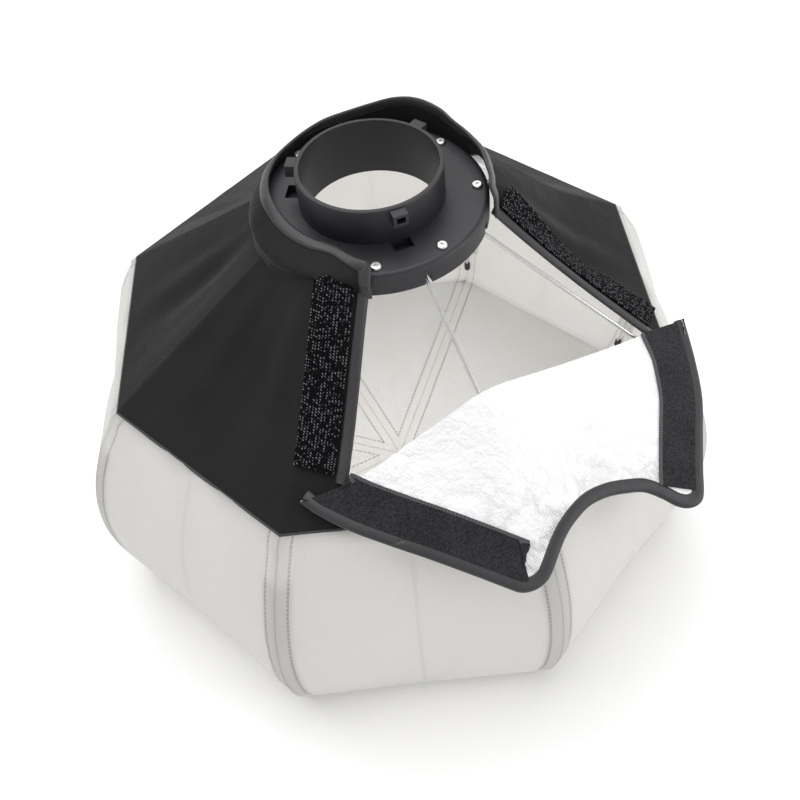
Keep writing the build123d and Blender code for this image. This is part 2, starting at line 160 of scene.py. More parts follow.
def wall_corner(z):
    """The wall's corner radius at this height."""
    foot = max(FOOT - z, 0)
    return WALL_AXIS + sqrt(WALL_ARC**2 - (z - BELLY_Z) ** 2) - FOOT + sqrt(FOOT**2 - foot**2)


def cover_z(x, y):
    """The height of the cover's upper face over a point of the plan, with the cloth's sag and folds."""
    look = bpy.context.scene.softbox_cloth
    azimuth = degrees(atan2(y, x))
    face = SIDE * round(azimuth / SIDE)
    corner_r = hypot(x, y) * cos(radians(azimuth - face)) / cos(HALF)
    rise = min(max((RIM_R - corner_r) / (RIM_R - NECK_R), 0), 1)
    taut = sin(pi * rise) * between(azimuth)
    waves = sin(radians(17 * azimuth + 50 * rise)) + 0.6 * sin(radians(29 * azimuth - 40 * rise + 70))
    waves = look.fold_depth * waves * sqrt(taut) * sin(pi * rise)
    turned_up = sum(smooth(1 - abs(azimuth - middle) / 42) * height for middle, height in TURNED_UP)
    turned_up *= smooth((rise - 0.35) / 0.65)
    return RIM_Z + SLOPE * (RIM_R - corner_r) - look.sag * taut + waves + turned_up


def on_cover(x, y, lift=0.0):
    """A point a little above the cover."""
    return Vector((x, y, cover_z(x, y) + lift))


def slit_point(side, share, out=0.0):
    """A point in plan along a slit, from the collar to the fold, set back from the opening by out."""
    top_azimuth, foot_azimuth = SLITS[side]
    top = spot(top_azimuth, NECK_R, 0)
    foot = spot(foot_azimuth, FOLD_REACH / cos(radians(foot_azimuth - FOLD_AZIMUTH)), 0)
    run = (foot - top).normalized()
    back = Vector((run.y, -run.x, 0)) if side == "left" else Vector((-run.y, run.x, 0))
    return top.lerp(foot, share) + back * out


def on_flap(along_fold, down, lift=0.0):
    """A point of the open flap: its ends hang down to the rim from the ridge over the rib."""
    flat = FOLD_POINT + FOLD_ALONG * along_fold + FLAP_DOWN * down
    ends = 0.037 * min(abs(along_fold + 0.008) / 0.152, 1.05) ** 1.35
    drop = ends * max(1 - down / 0.145, 0)
    away = (flat - EYE) / (EYE.z - flat.z)
    return flat + away * drop + FLAP_UP * lift


class Signal:
    """A shader socket that takes part in sums."""

    def __init__(self, tree, socket):
        self.tree = tree
        self.socket = socket

    def math(self, operation, *values):
        node = self.tree.nodes.new("ShaderNodeMath")
        node.operation = operation
        for socket, value in zip(node.inputs, values):
            if isinstance(value, Signal):
                self.tree.links.new(value.socket, socket)
            else:
                socket.default_value = value
        return Signal(self.tree, node.outputs[0])

    def __add__(self, other):
        return self.math("ADD", self, other)

    def __sub__(self, other):
        return self.math("SUBTRACT", self, other)

    def __rsub__(self, other):
        return self.math("SUBTRACT", other, self)

    def __mul__(self, other):
        return self.math("MULTIPLY", self, other)

    def __lt__(self, other):
        return self.math("LESS_THAN", self, other)

    def __gt__(self, other):
        return self.math("GREATER_THAN", self, other)

    def __abs__(self):
        return self.math("ABSOLUTE", self)

    __radd__ = __add__
    __rmul__ = __mul__


class Finish:
    """A procedural material in the making."""

    def __init__(self, name, **constants):
        self.material = bpy.data.materials.new(f"{name}_finish")
        self.material.use_nodes = True
        self.tree = self.material.node_tree
        self.shader = self.tree.nodes["Principled BSDF"]
        self.set(**constants)

    def set(self, **sockets):
        """Values or links of the surface, by its socket names with underscores for spaces."""
        for name, value in sockets.items():
            self.fill(self.shader.inputs[name.replace("_", " ").title().replace("Ior", "IOR")], value)

    def fill(self, socket, value):
        if isinstance(value, Signal):
            self.tree.links.new(value.socket, socket)
        elif isinstance(value, (int, float)):
            socket.default_value = value
        else:
            socket.default_value = (*value, 1) if len(value) == 3 and socket.type == "RGBA" else value

    def node(self, kind, settings=None, output=0, **sockets):
        """One node: its settings first, then the values or links of its sockets."""
        node = self.tree.nodes.new(kind)
        for name, value in (settings or {}).items():
            setattr(node, name, value)
        for name, value in sockets.items():
            self.fill(node.inputs[name.replace("_", " ")], value)
        return Signal(self.tree, node.outputs[output])

    def uv(self):
        """The piece's own map, in metres: across and along the cloth."""
        parts = self.node("ShaderNodeSeparateXYZ", Vector=self.node("ShaderNodeUVMap", {"uv_map": "cut"}))
        return parts, Signal(self.tree, parts.socket.node.outputs[1])

    def noise(self, scale, detail=3.0, roughness=0.5, vector=None):
        """Noise with this many waves to the metre."""
        vector = vector or self.node("ShaderNodeTexCoord", output="Object")
        return self.node("ShaderNodeTexNoise", Vector=vector, Scale=scale, Detail=detail, Roughness=roughness)

    def mix(self, factor, low, high):
        """A colour between two."""
        node = self.tree.nodes.new("ShaderNodeMix")
        node.data_type = "RGBA"
        for socket, value in zip((node.inputs[0], node.inputs[6], node.inputs[7]), (factor, low, high)):
            self.fill(socket, value)
        return Signal(self.tree, node.outputs[2])

    def bump(self, height, distance, strength=1.0, below=None):
        """A bumped normal."""
        node = self.tree.nodes.new("ShaderNodeBump")
        node.inputs["Distance"].default_value = distance
        node.inputs["Strength"].default_value = strength
        self.fill(node.inputs["Height"], height)
        if below:
            self.fill(node.inputs["Normal"], below)
        return Signal(self.tree, node.outputs[0])


def threads(value, pitch):
    """An even wave, 0 to 1, with this pitch."""
    return value.math("SINE", value * (2 * pi / pitch)) * 0.5 + 0.5


def black_cloth():
    """Dull woven black cloth."""
    look = bpy.context.scene.softbox_cloth
    finish = Finish(
        "black_cloth", roughness=0.75, sheen_weight=0.09, sheen_roughness=0.3, specular_ior_level=0.22)
    across, down = finish.uv()
    weave = threads(across + down, 0.0016) * threads(across - down, 0.0016)
    patches = finish.noise(26, 4)
    grain = finish.noise(900, 2)
    shade = patches * 0.55 + grain * 0.3 + weave * 0.25 - 0.05
    finish.set(base_color=finish.mix(shade, [0.3 * c for c in look.black], look.black))
    soft = finish.bump(finish.noise(38, 3), 0.004, 0.35)
    finish.set(normal=finish.bump(weave * 0.6 + grain * 0.5, 0.0005, 0.5, soft))
    return finish.material


def white_cloth():
    """White diffusing cloth with a faint check, a double row of stitches at each corner seam, and painted
    shade along the fold of each seam.
    """
    look = bpy.context.scene.softbox_cloth
    finish = Finish(
        "white_cloth", roughness=0.62, sheen_weight=0.1, sheen_roughness=0.4, specular_ior_level=0.3)
    across, down = finish.uv()
    check = threads(across, 0.005) > 0.93
    check = check + (threads(down, 0.005) > 0.93)
    tone = finish.noise(14, 3)
    grain = finish.noise(700, 2)
    colour = finish.mix(tone * 0.9, look.white, [c * f for c, f in zip(look.white, (0.93, 0.92, 0.905))])
    colour = finish.mix(check * 0.10, colour, (0.62, 0.62, 0.61))
    height = grain * 0.35 + check * 0.4
    rows = (abs(abs(across) - 0.0080) < 0.0008) * (threads(down, 0.0042) > 0.16)
    fold = abs(across) < 0.0006
    colour = finish.mix(rows * 0.7, colour, (0.27, 0.22, 0.20))
    # Painted shade: the fold line at each corner seam is darkened grey-brown, standing in for the crease and
    # the backlit double cloth.
    colour = finish.mix(fold * 0.55, colour, (0.42, 0.38, 0.36))
    height = height - rows * 1.5 - fold * 1.5 + (abs(across) < 0.0085) * 0.8
    finish.set(base_color=colour)
    soft = finish.bump(finish.noise(24, 3), 0.006, 0.3)
    finish.set(normal=finish.bump(height, 0.0005, 0.45, soft))
    through = finish.tree.nodes.new("ShaderNodeBsdfTranslucent")
    through.inputs["Color"].default_value = (0.9, 0.89, 0.87, 1)
    mixed = finish.tree.nodes.new("ShaderNodeMixShader")
    mixed.inputs[0].default_value = 0.5
    finish.tree.links.new(finish.shader.outputs[0], mixed.inputs[1])
    finish.tree.links.new(through.outputs[0], mixed.inputs[2])
    finish.tree.links.new(mixed.outputs[0], finish.tree.nodes["Material Output"].inputs[0])
    return finish.material


def silver_cloth():
    """Bright coated lining: creased, with grey painted shade of its crinkles, strongest towards the flap's
    free end.
    """
    look = bpy.context.scene.softbox_cloth
    finish = Finish("silver_cloth", metallic=0.3, roughness=0.45)
    across, down = finish.uv()
    bent = finish.noise(30, 5, 0.62)
    sharp = finish.noise(130, 4, 0.6)
    weave = threads(across, 0.0018) * threads(down, 0.0018)
    creases = abs(bent - 0.5) * 2
    toward_free_edge = finish.node("ShaderNodeMapRange", Value=down, From_Min=0.05, From_Max=0.105)
    patches = finish.node("ShaderNodeMapRange", Value=finish.noise(19, 2), From_Min=0.44, From_Max=0.74)
    # Painted shade of the crinkles: grey smudges, strongest towards the free edge.
    crinkle_shade = patches * (toward_free_edge * 0.85 + 0.06) * (sharp * 0.9 + weave * 0.8)
    # Painted shade along the crease lines.
    lines = finish.node("ShaderNodeMapRange", Value=creases, From_Min=0.12, From_Max=0.0)
    lines = lines * (toward_free_edge * 0.22 + 0.03)
    shade = crinkle_shade + lines
    finish.set(base_color=finish.mix(shade.math("MINIMUM", shade, 0.85), look.silver, (0.16, 0.155, 0.16)))
    finish.set(roughness=0.34 + sharp * 0.25)
    rough = finish.bump(creases * 0.9 + sharp * 0.25, 0.004, 0.6)
    finish.set(normal=finish.bump(weave, 0.0002, 0.3, rough))
    return finish.material


def binding_tape():
    """Satin edge binding with a sewn line along each side."""
    look = bpy.context.scene.softbox_cloth
    finish = Finish(
        "binding_tape", roughness=0.4, sheen_weight=0.03, sheen_roughness=0.4, specular_ior_level=0.5)
    across, down = finish.uv()
    sewn = (abs(across - 0.18) < 0.018) + (abs(across - 0.82) < 0.018)
    stitch = sewn * (threads(down, 0.003) > 0.2)
    ribs = threads(down, 0.0011)
    tone = finish.noise(60, 3)
    finish.set(base_color=finish.mix(tone * 0.8 + ribs * 0.2, [0.7 * c for c in look.tape], look.tape))
    finish.set(roughness=0.30 + tone * 0.2)
    pucker = finish.bump(finish.noise(90, 3), 0.0012, 0.5)
    finish.set(normal=finish.bump(ribs * 0.25 - stitch * 2 - sewn, 0.0004, 0.8, pucker))
    return finish.material


def hook_tape():
    """Hook tape: rows of small plastic hooks, with glints painted into their colour."""
    finish = Finish("hook_tape", specular_ior_level=0.05)
    across, down = finish.uv()
    rows = threads(across, 0.0021)
    hooks = rows * threads(down + across * 0.5, 0.0019)
    # Painted glints: random hooks get a pale grey base colour in place of highlights.
    glint = (finish.noise(420, 1) > 0.52) * (hooks > 0.42)
    finish.set(base_color=finish.mix(glint, (0.004, 0.004, 0.005), (0.16, 0.16, 0.165)))
    finish.set(roughness=0.9 - hooks * 0.2)
    finish.set(normal=finish.bump(hooks, 0.0006, 0.7))
    return finish.material


def loop_tape():
    """Loop tape: a short dark pile with a paler woven selvage along its inner edge."""
    finish = Finish(
        "loop_tape", roughness=0.95, sheen_weight=0.06, sheen_roughness=0.6, specular_ior_level=0.15)
    across, down = finish.uv()
    pile = finish.noise(620, 4, 0.75)
    worn = finish.noise(60, 3)
    tufts = finish.node("ShaderNodeMapRange", Value=pile + worn * 0.25, From_Min=0.42, From_Max=0.92)
    selvage = (across > 0.0238) * (threads(down, 0.0016) * 0.5 + 0.5)
    colour = finish.mix(tufts, (0.003, 0.003, 0.0035), (0.050, 0.050, 0.056))
    finish.set(base_color=finish.mix(selvage, colour, (0.11, 0.11, 0.115)))
    finish.set(normal=finish.bump(pile, 0.0018, 0.9))
    return finish.material


def moulded_black():
    """Moulded black plastic, slightly blue, with a fine texture and faint smudges."""
    look = bpy.context.scene.softbox_cloth
    finish = Finish("moulded_black", roughness=0.42, specular_ior_level=0.5)
    smudge = finish.noise(22, 5, 0.6)
    dark, light = ([tint * c for c in look.plastic] for tint in (0.7, 1.25))
    finish.set(base_color=finish.mix(smudge, dark, light))
    finish.set(roughness=0.32 + smudge * 0.26)
    finish.set(normal=finish.bump(finish.noise(1400, 2), 0.00015, 0.5))
    return finish.material


def fitting_plastic():
    """Plainer black plastic of the small fittings."""
    finish = Finish("fitting_plastic", roughness=0.5)
    wear = finish.noise(160, 4)
    finish.set(base_color=finish.mix(wear, (0.012, 0.012, 0.013), (0.035, 0.035, 0.037)))
    finish.set(normal=finish.bump(wear, 0.0002, 0.5))
    return finish.material


def bright_steel(name, tint, roughness):
    """Drawn or turned steel with fine scratches."""
    finish = Finish(name, metallic=1.0, roughness=roughness)
    worn = finish.noise(300, 5, 0.7)
    finish.set(base_color=finish.mix(worn, tint, [0.72 * c for c in tint]))
    finish.set(roughness=roughness + worn * 0.12)
    finish.set(normal=finish.bump(worn, 0.00008, 0.4))
    return finish.material


def rod_steel():
    """Polished spring steel of the ribs and stays."""
    return bright_steel("rod_steel", (0.90, 0.90, 0.89), 0.12)


def screw_steel():
    """Plated steel of the screws and pins."""
    return bright_steel("screw_steel", (0.86, 0.86, 0.84), 0.26)


FINISHES = (
    black_cloth, white_cloth, silver_cloth, binding_tape, hook_tape, loop_tape, moulded_black,
    fitting_plastic, rod_steel, screw_steel,
)


def material(name):
    """A finish by name, made once."""
    found = bpy.data.materials.get(f"{name}_finish")
    if found is None:
        found = {maker.__name__: maker for maker in FINISHES}[name]()
    return found


def finish_node(node, name):
    """Gives a CAD node one of the finishes."""
    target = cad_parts[node]
    if not target.material_slots:
        target.data.materials.append(material(name))
    for slot in target.material_slots:
        slot.material = material(name)


def cut_cloth(columns, rows, place, pattern):
    """A grid laid in space by place and on the flat by pattern, both from two shares of 0 to 1."""
    mesh = bmesh.new()
    bmesh.ops.create_grid(mesh, x_segments=columns, y_segments=rows, size=0.5)
    cut = mesh.loops.layers.uv.new("cut")
    for face in mesh.faces:
        for loop in face.loops:
            loop[cut].uv = pattern(loop.vert.co.x + 0.5, loop.vert.co.y + 0.5)
    for vertex in mesh.verts:
        vertex.co = place(vertex.co.x + 0.5, vertex.co.y + 0.5)
    return mesh


def face_towards(mesh, outward):
    """Turns the whole sheet so that most of it faces the way outward gives for a point."""
    mesh.normal_update()
    if sum(face.normal.dot(outward(face.calc_center_median())) * face.calc_area() for face in mesh.faces) < 0:
        bmesh.ops.reverse_faces(mesh, faces=mesh.faces)


def flat_cut(mesh):
    """The width, length and area of the sheet's flat pattern."""
    cut = mesh.loops.layers.uv["cut"]
    spots = [loop[cut].uv for face in mesh.faces for loop in face.loops]
    size = [max(s[i] for s in spots) - min(s[i] for s in spots) for i in (0, 1)]
    area = 0.0
    for face in mesh.faces:
        corners = [loop[cut].uv for loop in face.loops]
        area += abs(sum(a.x * b.y - a.y * b.x for a, b in zip(corners, corners[1:] + corners[:1]))) / 2
    return size, area


def to_piece(mesh, name, materials, thickness=0.0, outward=None):
    """The finished object of a bmesh, with its cloth thickness and smooth shading."""
    if outward:
        face_towards(mesh, outward)
    data = bpy.data.meshes.new(name)
    mesh.to_mesh(data)
    mesh.free()
    piece = bpy.data.objects.new(name, data)
    bpy.context.scene.collection.objects.link(piece)
    for entry in materials:
        data.materials.append(material(entry))
    if thickness:
        wall = piece.modifiers.new("thickness", "SOLIDIFY")
        wall.thickness = thickness
        wall.offset = -1
        wall.material_offset = len(materials) - 1
    bpy.context.view_layer.update()
    ready = bpy.data.meshes.new_from_object(piece.evaluated_get(bpy.context.evaluated_depsgraph_get()))
    piece.modifiers.clear()
    piece.data = ready
    ready.name = name
    ready.shade_smooth()
    ready.set_sharp_from_angle(angle=radians(50))
    return piece


def outwards(point):
    """Away from the softbox's axis, and up on its cone."""
    return Vector((point.x, point.y, 0)).normalized() + Vector((0, 0, 0.6))


def inwards(point):
    """Towards the softbox's axis, and down."""
    return -outwards(point)


def upwards(point):
    """Straight up, wherever the point is."""
    return Vector((0, 0, 1))


def off_flap(point):
    """Away from the open flap, wherever the point is."""
    return FLAP_UP


def folds_with_rib(piece, number, body, height):
    """Rides on an arm of one corner."""
    azimuth = CORNERS[number - 1]
    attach(piece, f"{body}_{number}")
    middle = spot(azimuth, RIM_R * 0.7, height)
    sideways = (-sin(radians(azimuth)), cos(radians(azimuth)), 0)
    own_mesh(piece)


def close_ends(mesh):
    """Welds the seam of a swept tube and caps its ends."""
    bmesh.ops.remove_doubles(mesh, verts=mesh.verts, dist=WELD)
    bmesh.ops.holes_fill(mesh, edges=[edge for edge in mesh.edges if edge.is_boundary], sides=0)
    bmesh.ops.recalc_face_normals(mesh, faces=mesh.faces)


def tape(name, centre, width_axis, face_axis, width, thickness, steps):
    """A rounded band of binding: centre, width_axis and face_axis give its place at a share of its line."""
    lengths = [0.0]
    for index in range(steps):
        lengths.append(lengths[-1] + (centre((index + 1) / steps) - centre(index / steps)).length)

    def place(share, turn):
        angle = 2 * pi * turn
        side = copysign(abs(cos(angle)) ** 0.75, cos(angle)) * width / 2
        lift = copysign(abs(sin(angle)) ** 0.85, sin(angle)) * thickness / 2
        return centre(share) + width_axis(share) * side + face_axis(share) * lift

    def pattern(share, turn):
        return Vector((0.5 + 0.5 * cos(2 * pi * turn), lengths[round(share * steps)]))

    mesh = cut_cloth(steps, 14, place, pattern)
    close_ends(mesh)
    return to_piece(mesh, name, ["binding_tape"])


def wall_place(azimuth, z):
    """A point of the wall's outer face: hollow between the corners, with pulls from the rim's corners."""
    look = bpy.context.scene.softbox_cloth
    high = z / RIM_Z
    hollow = look.hollow * between(azimuth) * sin(pi * min(high, 1)) ** 0.7
    pulls = sin(radians(24 * azimuth + 220 * high)) * between(azimuth) * smooth((high - 0.55) / 0.4) * 0.0011
    ripple = sin(radians(13 * azimuth + 90 * high + 30)) * between(azimuth) * 0.0012 * sin(pi * min(high, 1))
    hem = 0.0022 * sin(pi * min(max((high - 0.945) / 0.05, 0), 1))
    return spot(azimuth, ring_radius(wall_corner(z), azimuth) - hollow + pulls + ripple + hem, z)


def meridian_length(z):
    """How far up the wall this height is, measured along the cloth."""
    return WALL_ARC * (z - BELLY_Z) / max(sqrt(WALL_ARC**2 - (z - BELLY_Z) ** 2), 0.1) + BELLY_Z


class SoftboxCloth(bpy.types.PropertyGroup):
    """How the cloth hangs and its colours."""

    sag: bpy.props.FloatProperty(
        name="Cover sag", description="How far the cover hangs below the straight line between two ribs",
        default=0.006, min=0, max=0.01, unit="LENGTH")
    fold_depth: bpy.props.FloatProperty(
        name="Fold depth", description="Height of the soft folds that run down the cover",
        default=0.0022, min=0, max=0.004, unit="LENGTH")
    hollow: bpy.props.FloatProperty(
        name="Wall hollow", description="How far the wall pulls in between two stays",
        default=0.004, min=0, max=0.01, unit="LENGTH")
    black: bpy.props.FloatVectorProperty(
        name="Black cloth", description="Colour of the cover", subtype="COLOR",
        default=(0.016, 0.016, 0.0165))
    white: bpy.props.FloatVectorProperty(
        name="White cloth", description="Colour of the diffusing cloth", subtype="COLOR",
        default=(0.75, 0.748, 0.742))
    silver: bpy.props.FloatVectorProperty(
        name="Silver lining", description="Colour of the coated lining", subtype="COLOR",
        default=(0.86, 0.86, 0.87))
    tape: bpy.props.FloatVectorProperty(
        name="Binding", description="Colour of the edge binding", subtype="COLOR",
        default=(0.030, 0.030, 0.033))
    plastic: bpy.props.FloatVectorProperty(
        name="Hub plastic", description="Colour of the moulded hub", subtype="COLOR",
        default=(0.016, 0.016, 0.020))


class SoftboxStage(bpy.types.PropertyGroup):
    """Camera and light."""

    distance: bpy.props.FloatProperty(
        name="Camera distance", description="From the camera to the middle of the softbox", default=0.8203,
        unit="LENGTH")
    elevation: bpy.props.FloatProperty(
        name="Camera elevation", description="Angle above the floor", default=radians(46.69), unit="ROTATION")
    roll: bpy.props.FloatProperty(
        name="Camera roll", description="Turn about the line of sight", default=radians(-6.22),
        unit="ROTATION")
    key: bpy.props.FloatProperty(
        name="Key light", description="Strength of the broad light from above and behind", default=2.2, min=0)
    side: bpy.props.FloatProperty(
        name="Side light", description="Power of the light from the right, in watts", default=7.0, min=0)
    inside: bpy.props.FloatProperty(
        name="Inside light", description="Power of the light that the cloth lets into the shell, in watts",
        default=0.8, min=0)
    surround: bpy.props.FloatProperty(
        name="Surround", description="Brightness of the white surround", default=0.62, min=0)


class SOFTBOX_OT_hub(bpy.types.Operator):
    """Finish the bayonet plate, the ring, its screws and the hinge pins"""

    bl_idname = "softbox.hub"
    bl_label = "Hub"

    def execute(self, context):
        finish_node("bayonet_plate", "moulded_black")
        finish_node("hub_ring", "moulded_black")
        finish_node("hub_screws", "screw_steel")
        finish_node("hinge_pins", "screw_steel")
        return {"FINISHED"}


class SOFTBOX_OT_frame(bpy.types.Operator):
    """Finish the ribs, the rim clevises, the stays and their tips"""

    bl_idname = "softbox.frame"
    bl_label = "Rib frame"

    def execute(self, context):
        for number in range(1, SIDES + 1):
            finish_node(f"rib_{number}", "rod_steel")
            finish_node(f"clevis_{number}", "fitting_plastic")
            finish_node(f"stay_{number}", "rod_steel")
            finish_node(f"tip_{number}", "fitting_plastic")
        return {"FINISHED"}


class SOFTBOX_OT_wall(bpy.types.Operator):
    """Sew the white side wall, one gore to a stay, and the tape along its rim"""

    bl_idname = "softbox.wall"
    bl_label = "Side wall"

    def execute(self, context):
        for number, corner in enumerate(CORNERS, start=1):
            def height(share):
                return RIM_Z * (0.35 * share**2 + 0.65 * share)

            def place(across, up, corner=corner):
                return wall_place(corner + SIDE * (across - 0.5), height(up))

            def pattern(across, up):
                wide = wall_corner(height(up)) * sin(HALF) * 2
                return Vector(((across - 0.5) * wide, meridian_length(height(up))))

            mesh = cut_cloth(28, 44, place, pattern)
            size, area = flat_cut(mesh)
            gore = to_piece(mesh, f"wall_gore_{number}", ["white_cloth"], 0.0011, outward=outwards)
            folds_with_rib(gore, number, "stay_arm", RIM_Z / 2)
            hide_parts("side_wall")

            def hem_place(across, turn, corner=corner):
                azimuth = corner + SIDE * (across - 0.5)
                angle = 2 * pi * turn
                radius = ring_radius(RIM_R, azimuth) - 0.0002 + 0.0011 * cos(angle)
                return spot(azimuth, radius, RIM_Z - 0.0012 + 0.0016 * sin(angle))

            def hem_pattern(across, turn):
                return Vector((0.5 + 0.5 * cos(2 * pi * turn), across * RIM_R * 2 * sin(HALF)))

            mesh = cut_cloth(24, 10, hem_place, hem_pattern)
            close_ends(mesh)
            hem = to_piece(mesh, f"rim_tape_gore_{number}", ["binding_tape"])
            folds_with_rib(hem, number, "stay_arm", RIM_Z)
            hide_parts("rim_tape")
        return {"FINISHED"}


class SOFTBOX_OT_cover(bpy.types.Operator):
    """Sew the black cover with its silver lining, cut out at the opening"""

    bl_idname = "softbox.cover"
    bl_label = "Back cover"

    def execute(self, context):
        under = spot(FOLD_AZIMUTH, CUT_REACH, 0)
        edges = [(slit_point(side, 0), slit_point(side, 1)) for side in SLITS]
        edges.append((under, under + FOLD_ALONG))
        for number, corner in enumerate(CORNERS, start=1):
            bands = (("outer", 0.0, COVER_SPLIT, OUTER_KEEP), ("inner", COVER_SPLIT, 1.0, INNER_KEEP))
            for band, low, high, keep in bands:
                def place(across, up, corner=corner, low=low, high=high):
                    azimuth = corner + SIDE * (across - 0.5)
                    rise = low + (high - low) * up
                    radius = ring_radius(RIM_R, azimuth) * (1 - rise) + NECK_R * rise
                    flat = spot(azimuth, radius, 0)
                    return on_cover(flat.x, flat.y)

                def pattern(across, up, low=low, high=high):
                    rise = low + (high - low) * up
                    radius = RIM_R * (1 - rise) + NECK_R * rise
                    wide = (across - 0.5) * radius * sin(HALF) * 2
                    return Vector((wide, rise * (RIM_R - NECK_R) / cos(LEAN)))

                mesh = cut_cloth(40, 26, place, pattern)
                if number in (2, 3, 4):
                    for start, end in edges:
                        run = end - start
                        bmesh.ops.bisect_plane(
                            mesh, geom=mesh.verts[:] + mesh.edges[:] + mesh.faces[:], plane_co=start,
                            plane_no=(run.y, -run.x, 0))
                    opening = [face for face in mesh.faces if self.inside(face.calc_center_median())]
                    bmesh.ops.delete(mesh, geom=opening, context="FACES")
                if not mesh.faces:
                    mesh.free()
                    continue
                size, area = flat_cut(mesh)
                gore = to_piece(mesh, f"cover_{band}_{number}", ["black_cloth", "silver_cloth"], 0.0018,
                                outward=outwards)
                folds_with_rib(gore, number, "rib_arm", RIM_Z)
                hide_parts("back_cover", "silver_lining")
        return {"FINISHED"}

    def inside(self, point):
        """Whether a point lies over the opening."""
        plan = Vector((point.x, point.y, 0))
        if plan.dot(spot(FOLD_AZIMUTH, 1, 0)) > CUT_REACH:
            return False
        for side, sign in (("left", 1), ("right", -1)):
            top, foot = slit_point(side, 0), slit_point(side, 1)
            if (foot - top).cross(plan - top).z * sign < 0:
                return False
        return True


def collar_point(share, up):
    """A point of the collar: share runs round its edge, up from the cover to the edge."""
    azimuth, radius, z = along(COLLAR_EDGE, share)
    foot = on_cover(*spot(azimuth, NECK_R, 0).xy).z - 0.003
    rise = z / 1000 - foot
    line = [
        (NECK_R + 0.001, foot), (0.0868, foot + rise / 3), (0.0862, foot + rise * 0.66),
        (radius / 1000, z / 1000),
    ]
    level = along([Vector(entry) for entry in line], up)
    return spot(azimuth, level.x, level.y)


class SOFTBOX_OT_collar(bpy.types.Operator):
    """Sew the collar round the hub and bind its edge"""

    bl_idname = "softbox.collar"
    bl_label = "Neck collar"

    def execute(self, context):
        def pattern(share, up):
            return Vector((share * radians(277) * 0.085, up * 0.034))

        mesh = cut_cloth(150, 14, collar_point, pattern)
        size, area = flat_cut(mesh)
        collar = to_piece(mesh, "collar_cloth", ["black_cloth"], 0.0012, outward=outwards)
        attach(collar, "hub_and_shell")
        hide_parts("neck_collar")

        turn = 0.07

        def path(share):
            round_edge = min(max((share - turn) / (1 - 2 * turn), 0), 1)
            end = max(1 - share / turn, 1 - (1 - share) / turn, 0)
            inside = 0.006 * (1 if share < 0.5 else -1) * smooth(end * 3)
            return round_edge + inside, 0.93 - 0.80 * end

        def centre(share):
            return collar_point(*path(share))

        def width(share):
            round_edge, up = path(share)
            high = collar_point(round_edge, min(up + 0.05, 1)) - collar_point(round_edge, up - 0.05)
            out = collar_point(0, 0.6) - collar_point(0.02, 0.6) if share < 0.5 else (
                collar_point(1, 0.6) - collar_point(0.98, 0.6))
            corner = smooth(max(1 - share / turn, 1 - (1 - share) / turn) * 4 + 0.5)
            return (high.normalized() * (1 - corner) + out.normalized() * corner).normalized()

        def facing(share):
            ahead = (centre(min(share + 0.004, 1)) - centre(max(share - 0.004, 0))).normalized()
            return width(share).cross(ahead).normalized()

        binding = tape("collar_binding", centre, width, facing, TAPE_WIDE, 0.0034, 260)
        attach(binding, "hub_and_shell")
        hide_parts("neck_tape")
        return {"FINISHED"}


class SOFTBOX_OT_opening(bpy.types.Operator):
    """Bind the two slits and sew a strip of hook tape beside each"""

    bl_idname = "softbox.opening"
    bl_label = "Opening edges"

    def execute(self, context):
        for side, number in (("left", 2), ("right", 4)):
            def centre(share, side=side):
                flat = slit_point(side, share * 1.02 - 0.02, 0.0022)
                return on_cover(flat.x, flat.y, 0.0008)

            def across(share, side=side):
                inner, outer = slit_point(side, share), slit_point(side, share, 0.004)
                return (on_cover(*outer.xy) - on_cover(*inner.xy)).normalized()

            def facing(share, centre=centre, across=across):
                run = (centre(min(share + 0.02, 1)) - centre(max(share - 0.02, 0))).normalized()
                normal = run.cross(across(share)).normalized()
                return normal if normal.z > 0 else -normal

            binding = tape(f"slit_binding_{side}", centre, across, facing, TAPE_WIDE, 0.0032, 60)
            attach(binding, f"rib_arm_{number}")
            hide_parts(f"slit_tape_{side}")

            def place(share, wide, side=side):
                flat = slit_point(side, share * 0.97 + 0.01, HOOK_SETBACK + HOOK_WIDE * wide)
                return on_cover(flat.x, flat.y, 0.0042)

            def pattern(share, wide, side=side):
                run = on_cover(*slit_point(side, 1).xy) - on_cover(*slit_point(side, 0).xy)
                return Vector((0.0285 * wide, share * 0.97 * run.length))

            mesh = cut_cloth(48, 12, place, pattern)
            size, area = flat_cut(mesh)
            strip = to_piece(mesh, f"hook_tape_{side}", ["hook_tape"], 0.0011, outward=outwards)
            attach(strip, f"rib_arm_{number}")
            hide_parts(f"hook_strip_{side}")
            sorted(size)
        return {"FINISHED"}


def edge_point(points, share, inset=0.0):
    """A point of a flap edge in metres (along the fold, down the slope), set in from the free edge."""
    here = along(points, share)
    if not inset:
        return here / 1000
    step = along(points, min(share + 0.004, 1)) - along(points, max(share - 0.004, 0))
    inward = Vector((step.y, -step.x)).normalized()
    return here / 1000 + inward * inset


def flap_grid(columns, rows, start, stop, lift):
    """A sheet over the flap, between two reaches down its slope."""
    def plan(share, down):
        top = edge_point(FOLD_EDGE, share)
        low = edge_point(FREE_EDGE, share, 0.003)
        return top.lerp(low, start + (stop - start) * down)

    def place(share, down):
        return on_flap(*plan(share, down), lift)

    return cut_cloth(columns, rows, place, plan)


def split_at_bend(mesh, keep_tail):
    """Keeps the half of a flap piece on one side of its bend line."""
    origin = FOLD_POINT + FLAP_DOWN * BEND_REACH
    bmesh.ops.bisect_plane(
        mesh, geom=mesh.verts[:] + mesh.edges[:] + mesh.faces[:], plane_co=origin, plane_no=FLAP_DOWN,
        clear_inner=keep_tail, clear_outer=not keep_tail)


def folds_with_flap(piece, body):
    """Rides on the flap or its tail."""
    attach(piece, body)
    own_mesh(piece)


